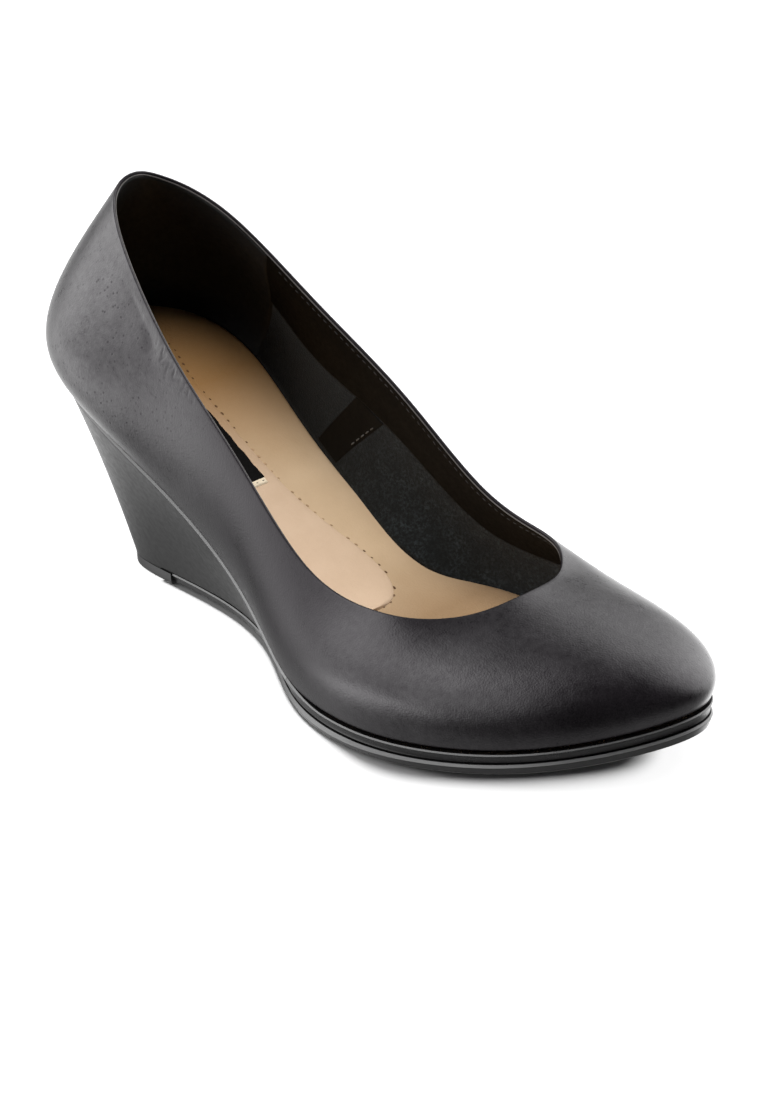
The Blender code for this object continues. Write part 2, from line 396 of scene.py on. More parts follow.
def stepsAlong(tree, along, steps):
    # grey ramp through pairs of place and value, eased between them
    start, end = steps[0][0], steps[-1][0]
    node = addNode(tree, "ValToRGB", {"Fac": remap(tree, along, start, end)})
    ramp = node.color_ramp
    ramp.interpolation = "EASE"
    for k, (spot, value) in enumerate(steps):
        share = (spot - start) / (end - start)
        stop = ramp.elements[k] if k < 2 else ramp.elements.new(share)
        stop.position, stop.color = share, (value, value, value, 1)
    return node.outputs["Color"]


def upperLeatherFinish():
    # clouds and fine noise set colour, gloss and coat; pores and worn parts take the coat away,
    # and waves, streaks, grain and pores are pressed in one on another
    material, tree, shader = startFinish("blackCalf", leather["colour"], 0.32)
    shader.inputs["Specular IOR Level"].default_value = leather["shine"]
    shader.inputs["Specular Tint"].default_value = leather["tint"]
    shader.inputs["Coat Roughness"].default_value = leather["coatRough"]
    clouds = noise(tree, leather["cloudScale"], 4.0, 0.6)
    fine = noise(tree, leather["fineScale"], 4.0, 0.65)
    along = alongShoe(tree)
    patches = remap(tree, noise(tree, leather["patchScale"]), 0.40, 0.58)
    patches = combine(tree, "MULTIPLY", patches, remap(tree, along, *leather["patchFade"]))
    pores = remap(tree, cells(tree, leather["poreScale"]), 0.08, 0.27, 0.9, 0.0)
    pores = combine(tree, "MULTIPLY", pores, patches)
    colour = mixColour(tree, remap(tree, clouds, 0.35, 0.7), leather["colour"], leather["cloud"])
    tree.links.new(colour, shader.inputs["Base Color"])
    broad = remap(tree, clouds, 0.3, 0.7, 0.0, 0.4)
    patchy = combine(tree, "ADD", broad, remap(tree, fine, 0.3, 0.7, 0.0, 0.6))
    gloss = remap(tree, patchy, 0.0, 1.0, *leather["gloss"])
    mattAndPaintedHighlight = addNode(tree, "Attribute", attribute_name="mattAndPaintedHighlight").outputs["Fac"]
    dulled = combine(tree, "MULTIPLY", mattAndPaintedHighlight, leather["dull"])
    tree.links.new(combine(tree, "MAXIMUM", gloss, dulled), shader.inputs["Roughness"])
    mottle = remap(tree, patchy, 0.0, 1.0, *leather["mottle"])
    coat = combine(tree, "MULTIPLY", stepsAlong(tree, along, leather["coat"]), mottle)
    bare = combine(tree, "MAXIMUM", pores, mattAndPaintedHighlight)
    coat = combine(tree, "MULTIPLY", coat, combine(tree, "SUBTRACT", 1.0, bare))
    tree.links.new(coat, shader.inputs["Coat Weight"])
    normal = pressed(tree, noise(tree, leather["waveScale"], 2.0), leather["waveDepth"])
    streaked = combine(tree, "MULTIPLY", streaks(tree), remap(tree, along, *leather["streakFade"]))
    normal = pressed(tree, streaked, leather["streakDepth"], normal)
    normal = pressed(tree, cells(tree, leather["grainScale"]), leather["grainDepth"], normal)
    normal = pressed(tree, combine(tree, "SUBTRACT", 1.0, pores), leather["poreDepth"], normal)
    tree.links.new(normal, shader.inputs["Normal"])
    tree.links.new(normal, shader.inputs["Coat Normal"])
    return material


plain = {"cloudScale": 70.0, "cloudLift": 1.5, "fineScale": 600.0, "smoother": 0.05, "rougher": 0.07}


def plainLeather(name, colour, roughness, grainScale, grainDepth, shine=0.5, paintedHighlightGrey=None):
    # smooth finish with cloudy colour, fine grain and a little unevenness; the last argument is a lighter
    # grey painted on the marked bevel rows, a painted highlight along the edges
    material, tree, shader = startFinish(name, colour, roughness)
    shader.inputs["Specular IOR Level"].default_value = shine
    clouds = remap(tree, noise(tree, plain["cloudScale"], 4.0, 0.6), 0.3, 0.7)
    base = mixColour(tree, clouds, colour, tuple(plain["cloudLift"] * part for part in colour))
    if paintedHighlightGrey:
        # painted highlight: the marked bevel rows of the sole pieces are mixed to a lighter grey
        mattAndPaintedHighlight = addNode(tree, "Attribute", attribute_name="mattAndPaintedHighlight").outputs["Fac"]
        base = mixColour(tree, mattAndPaintedHighlight, base, (paintedHighlightGrey, paintedHighlightGrey, paintedHighlightGrey))
    tree.links.new(base, shader.inputs["Base Color"])
    low, high = roughness - plain["smoother"], roughness + plain["rougher"]
    uneven = remap(tree, noise(tree, plain["fineScale"]), 0.3, 0.7, low, high)
    tree.links.new(uneven, shader.inputs["Roughness"])
    normal = pressed(tree, noise(tree, grainScale, 4.0, 0.6), grainDepth)
    tree.links.new(normal, shader.inputs["Normal"])
    return material


# nap: heel is the painted shade colour the lining darkens to towards the heel
nap = {"mean": (0.010, 0.012, 0.012), "dark": (0.005, 0.0062, 0.0064), "light": (0.031, 0.039, 0.042),
       "cloud": (0.0048, 0.0058, 0.006), "cloudShare": 0.85, "heel": (0.0028, 0.0033, 0.0032),
       "heelShadeFade": (-0.015, -0.06), "speckleScale": 1100.0, "cloudScale": 210.0, "hairScale": 1400.0,
       "hairDepth": 0.00025, "sheen": 0.08, "sheenRough": 0.5}


def suedeFinish():
    # napped flesh side: speckled grey green with a soft sheen, and painted shade that darkens it towards the
    # heel
    material, tree, shader = startFinish("fleshLining", nap["mean"], 0.95)
    speckle = remap(tree, noise(tree, nap["speckleScale"], 3.0, 0.7), 0.42, 0.66)
    clouds = remap(tree, noise(tree, nap["cloudScale"], 5.0, 0.7), 0.38, 0.64)
    colour = mixColour(tree, speckle, nap["dark"], nap["light"])
    colour = mixColour(tree, combine(tree, "MULTIPLY", clouds, nap["cloudShare"]), colour, nap["cloud"])
    # painted shade: darker towards the heel
    colour = mixColour(tree, remap(tree, alongShoe(tree), *nap["heelShadeFade"]), colour, nap["heel"])
    tree.links.new(colour, shader.inputs["Base Color"])
    shader.inputs["Sheen Weight"].default_value = nap["sheen"]
    shader.inputs["Sheen Roughness"].default_value = nap["sheenRough"]
    normal = pressed(tree, noise(tree, nap["hairScale"], 4.0, 0.7), nap["hairDepth"])
    tree.links.new(normal, shader.inputs["Normal"])
    return material


# heel and toe are painted shade colours for the ends of the sock; front and pad are the leather's own tan
tan = {"heel": (0.32, 0.175, 0.070), "front": (0.62, 0.45, 0.285), "toe": (0.31, 0.20, 0.11),
       "pad": (0.65, 0.475, 0.33), "heelShadeFade": (-0.08, -0.042), "toeShadeFade": (-0.014, 0.014),
       "blotch": 0.12, "blotchScale": 90.0, "gloss": (0.48, 0.64), "glossScale": 500.0,
       "waveScale": 300.0, "waveDepth": 0.00012, "poreScale": 1700.0, "poreDepth": 0.00005}


def sockFinish(name, heel, front, toe):
    # tan leather with painted shade, browner towards the heel and the toe where the walls shade it, with
    # faint blotches, pores and a matt face
    material, tree, shader = startFinish(name, front, 0.55)
    along = alongShoe(tree)
    # painted shade: the colour darkens to the heel colour behind and to the toe colour ahead
    colour = mixColour(tree, remap(tree, along, *tan["heelShadeFade"]), heel, front)
    colour = mixColour(tree, remap(tree, along, *tan["toeShadeFade"]), colour, toe)
    blotch = remap(tree, noise(tree, tan["blotchScale"], 4.0, 0.6), 0.35, 0.7)
    colour = mixColour(tree, combine(tree, "MULTIPLY", blotch, tan["blotch"]), colour, heel)
    tree.links.new(colour, shader.inputs["Base Color"])
    gloss = remap(tree, noise(tree, tan["glossScale"]), 0.3, 0.7, *tan["gloss"])
    tree.links.new(gloss, shader.inputs["Roughness"])
    normal = pressed(tree, noise(tree, tan["waveScale"]), tan["waveDepth"])
    normal = pressed(tree, cells(tree, tan["poreScale"]), tan["poreDepth"], normal)
    tree.links.new(normal, shader.inputs["Normal"])
    return material


# plain finishes: colour, roughness, grain scale and depth, then shine and the lighter grey of the painted
# highlight on bevel edges
calf = upperLeatherFinish()
wedgeCalf = plainLeather("wedgeCover", (0.0055, 0.0055, 0.0055), 0.33, 1400.0, 0.00002, 0.5, 0.15)
stripFinish = plainLeather("platformStrip", (0.0045, 0.0042, 0.0045), 0.30, 1500.0, 0.00003, 0.5, 0.10)
rubber = plainLeather("soleRubber", (0.005, 0.0048, 0.005), 0.32, 1100.0, 0.00005, 0.5, 0.11)
liftRubber = plainLeather("liftRubber", (0.009, 0.009, 0.009), 0.36, 1100.0, 0.00003, 0.75)
facingLeather = plainLeather("facingLeather", (0.0032, 0.0024, 0.0017), 0.55, 1500.0, 0.00004, 0.1)
gripLeather = plainLeather("gripLining", (0.002, 0.002, 0.002), 0.62, 1300.0, 0.00004)
tabLeather = plainLeather("tabLeather", (0.0017, 0.0015, 0.0014), 0.5, 1300.0, 0.00003, 0.15)
rawEdge = plainLeather("rawEdge", (0.06, 0.055, 0.052), 0.40, 1500.0, 0.00004)
suede = suedeFinish()
# sock and pad darken towards the heel, and the sock towards the toe, as painted shade
sockTan = sockFinish("sockTan", tan["heel"], tan["front"], tan["toe"])
padTan = sockFinish("padTan", tan["heel"], tan["pad"], tan["pad"])
labelCloth = plainLeather("labelCloth", (0.004, 0.0038, 0.0037), 0.8, 2200.0, 0.00005, 0.2)
hemCloth = plainLeather("hemCloth", (0.60, 0.51, 0.38), 0.7, 2200.0, 0.00006)
blackThread = plainLeather("blackThread", (0.012, 0.011, 0.010), 0.5, 2500.0, 0.00003)
greyThread = plainLeather("greyThread", (0.10, 0.10, 0.095), 0.5, 2500.0, 0.00003)
needleHole = plainLeather("needleHole", (0.11, 0.058, 0.028), 0.7, 2500.0, 0.00003)
paleHole = plainLeather("paleHole", (0.34, 0.22, 0.13), 0.7, 2500.0, 0.00003)
print("finishes ready")

# the upper: outer face, folded topline and inner face in one closed skin, worked with a row of
# short creases under the near topline, a soft dent behind them and a long trough that runs into it
upper = {"columns": 600, "creasedColumns": 130, "creased": (2.6, 3.5), "outerRows": 74, "rollRows": 8,
         "innerRows": 24, "innerFoot": 0.03, "under": 0.25}
creases = {
    "rows": (  # rib, lean in ribs over the height, foot, head, depth
        (2.79, 0.6, 0.885, 0.965, 0.13), (2.84, 1.1, 0.865, 0.985, 0.27), (2.885, 0.2, 0.905, 0.99, 0.20),
        (2.915, 0.9, 0.87, 0.975, 0.32), (2.965, 1.4, 0.895, 0.99, 0.21), (3.00, 0.5, 0.86, 0.95, 0.17),
        (3.02, 1.0, 0.915, 0.99, 0.29), (3.075, 0.3, 0.90, 0.985, 0.22), (3.12, 1.2, 0.89, 0.97, 0.26),
        (3.15, 0.7, 0.925, 0.99, 0.17), (3.215, 0.9, 0.905, 0.985, 0.20), (3.285, 0.4, 0.92, 0.985, 0.15),
        (3.35, 0.8, 0.93, 0.98, 0.12)),
    "width": 0.42, "leanHeight": 0.93, "ribPitch": 33.0,
    "dentRib": 2.72, "dentHeight": 0.87, "dentDepth": 0.75, "dentReach": 3.4,
    "rollRibs": (2.1, 2.8), "rollHeight": 0.905, "rollDepth": 0.35, "rollReach": 1.5,
}


def workedDepth(u, v):
    # leaning troughs under the topline, each a bell in width and a sine hump in height,
    # a round bell for the dent and a long trough that runs into it along the topline
    rib, lean, foot, head, depth = np.array(creases["rows"]).T
    across = (u[..., None] - rib - lean * (v[..., None] - creases["leanHeight"])) * creases["ribPitch"]
    hump = np.sin(np.pi * np.clip((v[..., None] - foot) / (head - foot), 0, 1))
    troughs = (depth * hump * np.exp(-(across / creases["width"])**2)).sum(-1)
    dentAcross = (u - creases["dentRib"]) * creases["ribPitch"]
    dentUp = (v - creases["dentHeight"]) * spanAt(u)
    dent = creases["dentDepth"] * np.exp(-(dentAcross**2 + dentUp**2) / creases["dentReach"]**2)
    back, front = creases["rollRibs"]
    rollUp = (v - creases["rollHeight"]) * spanAt(u)
    rollHump = np.sin(np.pi * np.clip((u - back) / (front - back), 0, 1))**2
    return troughs + dent + creases["rollDepth"] * rollHump * np.exp(-(rollUp / creases["rollReach"])**2)


def upperSkin():
    # rows climb the outer face, turn a half circle over the topline, go down the inner face
    # and come back under the feather line in a shallow round
    start, end = upper["creased"]
    u = np.concatenate([np.linspace(end - ribCount, start, upper["columns"], endpoint=False),
                        np.linspace(start, end, upper["creasedColumns"], endpoint=False)])
    fold = last["edge"] / 2
    vTop = 1 - fold / spanAt(u)
    v = np.linspace(0, 1, upper["outerRows"])[:, None] * vTop
    normal, upward = wallFrame(u, v)
    outer = wallPoint(u, v) - workedDepth(u + 0 * v, v)[..., None] * normal
    turn = np.linspace(0, np.pi, upper["rollRows"] + 2)[1:-1, None, None]
    middle = outer[-1] - fold * normal[-1]
    roll = middle + fold * (np.cos(turn) * normal[-1] + np.sin(turn) * upward[-1])
    vDown = np.linspace(1, upper["innerFoot"], upper["innerRows"])[:, None] * vTop
    inner = innerPoint(u, vDown, np.zeros_like(vDown))
    foot, out = featherLine(u), planOut(featherLine, u)
    rims = []
    for inward, drop in ((1, 0), (0.6, 1), (0.25, 1), (0.08, 0.6)):  # shares of the wall and of the round
        plan = foot - inward * last["wall"] * out
        rims.append(raised(plan, featherHeight(plan[:, 0]) - drop * upper["under"]))
    return np.concatenate([outer, roll, inner, np.stack(rims)])


skin = upperSkin()
dull = np.zeros(skin.shape[:2])
dull[upper["outerRows"] + upper["rollRows"] // 2:] = 1  # the inner half of the fold and all below it
newPiece("upperLeather", skin, roundFaces(*skin.shape[:2], True), calf, "upper", dull)

# linings on the inside of the wall: napped quarter lining, topline facing with its cut edge,
# heel grip and side tab
lining = {"thick": 0.25, "below": 3.2, "tucked": 0.15, "foot": 0.02,
          "facingThick": 0.55, "facingBelow": 0.6, "facingWidth": 16.5, "facingEnd": 2.1, "cutEdge": 0.2,
          "facingDip": 13.0, "dipRib": 2.2, "dipReach": 1.0,
          "gripThick": 0.75, "gripBelow": 0.8, "gripFoot": 2.2, "gripLean": 0.3,
          "gripPitch": 30.0, "gripTall": 45.0}


def liningPatch(u, v, thick, edge):
    # a sheet on the inside of the wall: its face stands thick proud and rounds off to the wall
    # at its edges, where edge is the distance to the nearest edge in millimetres
    inward = np.clip(edge / thick, 0, 1)
    proud = thick * np.sqrt(np.clip(1 - (1 - inward)**2, 0, 1))
    front = innerPoint(u, v, proud)
    back = innerPoint(u, v, np.full_like(u, -lining["tucked"]))
    return front, back


def easedSteps(count):
    # 0 to 1, closer together at both ends
    return 0.5 - 0.5 * np.cos(np.linspace(0, np.pi, count))


def quarterLining():
    # napped lining right round, from the feather line to just under the fold
    u = np.linspace(0, ribCount, 420, endpoint=False)
    v = np.linspace(lining["foot"], 1, 30)[:, None] * (1 - lining["below"] / spanAt(u))
    face = innerPoint(u, v, np.full_like(v, lining["thick"]))
    back = innerPoint(u, v, np.full_like(v, -lining["tucked"]))
    rows = np.concatenate([face, back[::-1]])
    faces = roundFaces(*rows.shape[:2], True)
    return newPiece("quarterLining", rows, faces[:, ::-1], suede)


def facingWidth(u):
    # even strip that deepens in a bell towards the heel on both sides
    side = np.minimum(u, ribCount - u)
    dip = np.exp(-((side - lining["dipRib"]) / lining["dipReach"])**2)
    return lining["facingWidth"] + lining["facingDip"] * dip


def toplineFacing():
    # smooth strip under the topline from one heel seam round the throat to the other
    u = np.linspace(lining["facingEnd"], ribCount - lining["facingEnd"], 420)
    high = 1 - lining["facingBelow"] / spanAt(u)
    low = high - facingWidth(u) / spanAt(u)
    t = easedSteps(24)[:, None]
    v = blend(low, high, t)
    edge = np.minimum(t * 0.5, 1 - t) * facingWidth(u)
    front, back = liningPatch(u + 0 * v, v, lining["facingThick"], edge)
    points, faces = closedSheet(front, back)
    return newPiece("toplineFacing", points, faces[:, ::-1], facingLeather)


def facingEdge():
    # thin cut edge of the lining right round under the topline, a ring of eight sides
    u = np.linspace(0, ribCount, 900, endpoint=False)
    v = 1 - lining["facingBelow"] / spanAt(u)
    normal, upward = wallFrame(u, v)
    middle = innerPoint(u, v, np.full_like(u, lining["cutEdge"]))
    turn = np.linspace(0, 2 * np.pi, 8, endpoint=False)[:, None, None]
    tube = middle + lining["cutEdge"] * (np.cos(turn) * normal + np.sin(turn) * upward)
    return newPiece("facingEdge", tube, roundFaces(*tube.shape[:2], True), rawEdge)


def heelGrip():
    # dark grip lining round the back, its front edges leaning forward as they rise
    t = easedSteps(40)[:, None]
    q = np.linspace(-1, 1, 150)
    reach = lining["gripFoot"] + lining["gripLean"] * t**2
    u = q * reach
    high = 1 - lining["gripBelow"] / spanAt(u)
    v = blend(lining["foot"], high, t)
    edge = np.minimum(lining["gripPitch"] * (1 - np.abs(q)) * reach, lining["gripTall"] * (1 - t))
    front, back = liningPatch(u, v, lining["gripThick"], edge)
    points, faces = closedSheet(front, back)
    return newPiece("heelGrip", points, faces[:, ::-1], gripLeather)


tab = {"foot": (14.62, 14.88), "head": (14.22, 14.55), "low": 0.05, "high": 0.60, "thick": 0.45,
       "wide": 9.0, "tall": 20.0}


def sideTab():
    # slanting tab on the far lining, below the facing
    t = easedSteps(40)[:, None]
    q = easedSteps(24)
    left = blend(tab["foot"][0], tab["head"][0], t)
    right = blend(tab["foot"][1], tab["head"][1], t)
    u = blend(left, right, q)
    v = blend(tab["low"], tab["high"], t) + 0 * q
    edge = np.minimum(np.minimum(q, 1 - q) * tab["wide"], np.minimum(t, 1 - t) * tab["tall"])
    front, back = liningPatch(u, v, tab["thick"], edge)
    points, faces = closedSheet(front, back)
    return newPiece("sideTab", points, faces[:, ::-1], tabLeather)


quarterLining()
toplineFacing()
facingEdge()
heelGrip()
sideTab()

# stitches and needle holes as small rounded bodies; sizes are length, width and height
beadGrid = (7, 8)  # rows from end to end, corners round
stitch = {"facingEnd": 2.55, "facingBelow": 2.6, "facingPitch": 2.5, "facingSize": (1.7, 0.45, 0.4),
          "tabSpan": (0.34, 0.84), "tabIn": 0.03, "tabPitch": 2.4, "tabSize": (1.6, 0.5, 0.45),
          "hemPitch": 2.3, "hemSize": (0.7, 0.3, 0.2)}


def beads(path, normals, pitch, size):
    # one ellipsoid at each even step along a path, its axes ahead, sideways and along the normal
    run = np.linalg.norm(np.diff(path, axis=0), axis=1)
    reach = np.concatenate([[0], np.cumsum(run)])
    steps = np.arange(pitch / 2, reach[-1], pitch)
    centre = np.stack([np.interp(steps, reach, path[:, k]) for k in range(3)], -1)
    ahead = np.stack([np.interp(steps + 0.2, reach, path[:, k]) for k in range(3)], -1)
    lift = unit(np.stack([np.interp(steps, reach, normals[:, k]) for k in range(3)], -1))
    forward = unit(ahead - centre + 1e-9)
    axes = np.stack([forward, np.cross(lift, forward), lift], 1)[:, None, None]
    tilt = np.linspace(0, np.pi, beadGrid[0])[:, None]
    turn = np.linspace(0, 2 * np.pi, beadGrid[1], endpoint=False)
    body = np.stack([np.cos(tilt) + 0 * turn, np.sin(tilt) * np.cos(turn), np.sin(tilt) * np.sin(turn)], -1)
    body = body * np.array(size) / 2
    return centre[:, None, None] + (body[..., None] * axes).sum(-2)


def beadPiece(name, points, material):
    # the faces of one body, counted on for each of the others
    first = beadGrid[0] * beadGrid[1] * np.arange(len(points))[:, None, None]
    faces = roundFaces(*beadGrid) + first
    return newPiece(name, points, faces.reshape(-1, 4), material)


def facingStitches():
    # one row of stitches just under the facing's upper edge
    u = np.linspace(stitch["facingEnd"], ribCount - stitch["facingEnd"], 900)
    v = 1 - stitch["facingBelow"] / spanAt(u)
    path = innerPoint(u, v, np.full_like(u, lining["facingThick"]))
    points = beads(path, -wallFrame(u, v)[0], stitch["facingPitch"], stitch["facingSize"])
    return beadPiece("facingStitches", points, blackThread)


def tabStitches():
    # a few pale stitches along the tab's front edge
    t = np.linspace(*stitch["tabSpan"], 60)
    u = blend(tab["foot"][0], tab["head"][0], t) + stitch["tabIn"]
    v = blend(tab["low"], tab["high"], t)
    path = innerPoint(u, v, np.full_like(u, tab["thick"]))
    points = beads(path, -wallFrame(u, v)[0], stitch["tabPitch"], stitch["tabSize"])
    return beadPiece("tabStitches", points, greyThread)


facingStitches()
tabStitches()

# the sock on its board, with a padded tongue-shaped strip and a plain label
sock = {"thick": 2.5, "margin": 0.5, "flare": 0.75, "edgeDrop": 0.5, "rim": 0.05, "foot": 0.2,
        "curl": 1.3, "curlRib": 5.25, "curlReach": 0.4}
pad = {"back": 13.0, "front": 121.8, "waist": 5.3, "heelBulge": 3.0, "heelMiddle": 22.0, "heelReach": 9.0,
       "toeBulge": 9.0, "toeMiddle": 113.0, "toeReach": (24.0, 16.0), "rise": 0.9, "heelRise": 0.55,
       "fills": (60.0, 100.0), "sink": 0.35, "foot": 0.8}


def sockEdge(u):
    # the feather line moved in by wall and margin and out again with the wall's lean
    flare = sock["thick"] * throughRibs(ribColumn("swellOut"), u) / throughRibs(ribColumn("swellUp"), u)
    shift = sock["flare"] * flare - last["wall"] - sock["margin"]
    return featherLine(u) + shift[..., None] * planOut(featherLine, u)


def padHalf(along):
    # narrow waist with a bell-shaped bulge at heel and front, closed by a blunt rounded end
    half = pad["waist"] + pad["heelBulge"] * np.exp(-((along - pad["heelMiddle"]) / pad["heelReach"])**2)
    ahead = along - pad["toeMiddle"]
    half = half + pad["toeBulge"] * np.exp(-(ahead / np.where(ahead < 0, *pad["toeReach"]))**2)
    middle, reach = (pad["back"] + pad["front"]) / 2, (pad["front"] - pad["back"]) / 2
    t = np.clip(np.abs(along - middle) / reach, 0, 1)
    return half * (1 - t**14)**0.25


def sockHeight(along):
    # top of the sock, one thickness over the feather line
    return featherHeight(along) + sock["thick"]


def padHeight(along, q):
    # crowned across: full in the middle, sunk a little at the stitched edge, flatter at the heel
    start, end = pad["fills"]
    crown = pad["rise"] * blend(pad["heelRise"], 1, np.clip((along - start) / (end - start), 0, 1))
    return sockHeight(along) + (crown + pad["sink"]) * np.sqrt(np.clip(1 - q**4, 0, 1)) - pad["sink"]


def sockPiece():
    # rungs from the near edge to the far edge, with a slightly rounded rim
    # that curls up on the far side of the ball
    half = ribCount / 2
    tip = np.array([0, 0.01, 0.03, 0.08])
    w = np.concatenate([tip, np.linspace(0.15, half - 0.15, 260), half - tip[::-1]])[:, None]
    q = easedSteps(48)
    near, far = sockEdge(w[:, 0])[:, None], sockEdge(ribCount - w[:, 0])[:, None]
    plan = blend(near, far, q[:, None])
    drop = sock["edgeDrop"] * np.clip((np.abs(2 * q - 1) - 1 + sock["rim"]) / sock["rim"], 0, 1)**2
    curl = sock["curl"] * np.exp(-((w - sock["curlRib"]) / sock["curlReach"])**2) * q**6
    top = raised(plan, sockHeight(plan[..., 0]) - drop + curl)
    foot = raised(plan, featherHeight(plan[..., 0]) + sock["foot"])
    points, faces = closedSheet(top, foot)
    return newPiece("sockTan", points, faces[:, ::-1], sockTan, "insole")


def padPiece():
    # crowned strip along the centreline
    along = blend(pad["back"], pad["front"], easedSteps(220))[:, None]
    q = np.sin(np.linspace(-np.pi / 2, np.pi / 2, 40))
    plan = np.stack([along + 0 * q, swing(along) + q * padHalf(along)], -1)
    top = raised(plan, padHeight(along, q))
    foot = raised(plan, sockHeight(along + 0 * q) - pad["foot"])
    points, faces = closedSheet(top, foot)
    piece = newPiece("sockPad", points, faces, padTan)
    return piece


holes = {"grow": 0.1, "stray": 0.15, "strayTurn": 2.3, "pitch": 3.2, "size": (1.15, 0.85, 0.35),
         "missing": 7, "scale": 0.9, "uneven": 0.2, "unevenTurn": 5.1, "waist": (61.0, 103.0)}


def padRim(grow):
    # closed path round the pad at the sock's height
    along = blend(pad["back"], pad["front"], easedSteps(500))
    half = padHalf(along) + grow
    near = np.stack([along, swing(along) - half, sockHeight(along)], -1)
    far = np.stack([along, swing(along) + half, sockHeight(along)], -1)
    return np.concatenate([near, far[::-1]])


def padStitches():
    # needle holes round the pad, six in seven kept, of uneven size, off the line and paler along the waist
    path = padRim(holes["grow"])
    path[:, 1] += holes["stray"] * np.sin(path[:, 0] * holes["strayTurn"])
    points = beads(path, np.broadcast_to((0.0, 0.0, 1.0), path.shape), holes["pitch"], holes["size"])
    points = points[np.arange(len(points)) % holes["missing"] > 0]
    middle = points.mean((1, 2), keepdims=True)
    uneven = holes["scale"] + holes["uneven"] * np.sin(holes["unevenTurn"] * np.arange(len(points)))
    points = middle + (points - middle) * uneven[:, None, None, None]
    along = middle[:, 0, 0, 0]
    waist = (along > holes["waist"][0]) & (along < holes["waist"][1])
    beadPiece("padHoles", points[~waist], needleHole)
    beadPiece("waistHoles", points[waist], paleHole)


label = {"back": 47.0, "front": 73.2, "nearSide": -13.0, "farSide": 1.9, "waves": ((0.12, 0.9), (0.06, 2.1)),
         "thick": 0.35, "hem": 1.7, "hemOver": 0.1, "across": 14.0, "sunk": 0.3}


def overSock(along, offset):
    # the higher of sock and pad under a place off the centreline
    q = np.clip(np.abs(offset) / np.maximum(padHalf(along), 0.1), 0, 1)
    return np.maximum(sockHeight(along), padHeight(along, q))


def labelSheet(name, start, end, thick, material):
    # thin sheet over sock and pad with a slightly wavy far edge and rounded rim
    t = easedSteps(40)[:, None]
    q = easedSteps(40)
    along = blend(start, end, t) + 0 * q
    far = label["farSide"] + sum(height * np.sin(along * turn) for height, turn in label["waves"])
    offset = blend(label["nearSide"], far, q)
    edge = np.minimum(np.minimum(q, 1 - q) * label["across"], np.minimum(t, 1 - t) * (end - start))
    proud = thick * np.sqrt(np.clip(1 - (1 - np.clip(edge / thick, 0, 1))**2, 0, 1))
    plan = np.stack([along, swing(along) + offset], -1)
    base = overSock(along, offset)
    points, faces = closedSheet(raised(plan, base + proud), raised(plan, base - label["sunk"]))
    return newPiece(name, points, faces[:, ::-1], material)


def hemStitches():
    # a few short stitches across the label's pale hem
    offset = np.linspace(label["nearSide"] + 1, label["farSide"] - 1, 60)
    along = np.full_like(offset, label["front"] + 0.55 * label["hem"])
    height = overSock(along, offset) + label["thick"] + label["hemOver"]
    path = np.stack([along, swing(along) + offset, height], -1)
    points = beads(path, np.broadcast_to((0.0, 0.0, 1.0), path.shape), stitch["hemPitch"], stitch["hemSize"])
    return beadPiece("hemStitches", points, labelCloth)


sockPiece()
padPiece()
padStitches()
hemStitches()
hemStart, hemEnd = label["front"] - label["hemOver"], label["front"] + label["hem"]
labelSheet("sockLabel", label["back"], label["front"], label["thick"], labelCloth)
labelSheet("labelHem", hemStart, hemEnd, label["thick"] + label["hemOver"], hemCloth)

# the sole: wedge and platform strip cut from one unit, outsole and heel lift as rubber slabs
sole = {"columns": 640, "wedgeFront": 128.0, "cutGap": 0.05, "hollow": 0.5, "outsole": 3.0,
        "inset": 5.0, "topInset": 4.0, "overLift": -0.02, "overOutsole": 0.05, "recess": (0.1, 0.9),
        "footFades": (12.0, 80.0), "liftStep": 0.7, "liftFront": 43.0, "liftOut": 0.3, "liftGap": 0.12,
        "liftFace": 0.8, "liftRound": 1.3, "liftTaper": 0.9}
wedge = {"ledge": 0.62, "bevel": (0.95, 0.75), "bevelFades": (20.0, 110.0), "drop": -0.45,
         "slots": (37.0, 39.0), "groove": 0.55, "footIn": 0.5}
strip = {"ledge": 0.5, "bevel": 0.38, "drop": 1.2, "opens": (126.0, 148.0), "hollow": 0.25,
         "groove": 0.5, "footIn": 0.3}
bead = {"waistBevel": 0.45, "ballBevel": 1.2, "toeBevel": 0.8, "waistOut": -0.1, "ballOut": 0.55,
        "toeOut": 0.35, "ballFades": (100.0, 128.0), "toeFades": (150.0, 190.0), "lean": 0.8,
        "footRound": 0.3}
rounding = {"curve": 0.15, "tilt": 62.0}  # all edges: radius beside a bevel, its degrees from level


def outsoleBottom(along):
    # clear of the floor ahead of the lift, on it at the forefoot, up again at the toe
    ahead = np.clip((along - sole["liftFront"]) / (last["treadStart"] - sole["liftFront"]), 0, 1)
    return sole["liftStep"] * (0.5 + 0.5 * np.cos(np.pi * ahead)) + spring(along)


def bevelRows(bevel, first, final):
    # rows over an edge, out and down from the first round's centre: a round, a bevel that faces out and
    # a little up, and a round into the side; first and final are the angles where the rounds start and end
    tilt = np.radians(rounding["tilt"])
    over = np.linspace(first, rounding["tilt"], 7)
    into = np.linspace(rounding["tilt"], final, 5)
    turn = np.radians(np.concatenate([over, into]))[:, None]
    beyond = (np.arange(len(turn)) >= len(over))[:, None] * bevel
    outs = rounding["curve"] * np.sin(turn) + beyond * np.cos(tilt)
    downs = beyond * np.sin(tilt) - rounding["curve"] * np.cos(turn)
    return outs, downs


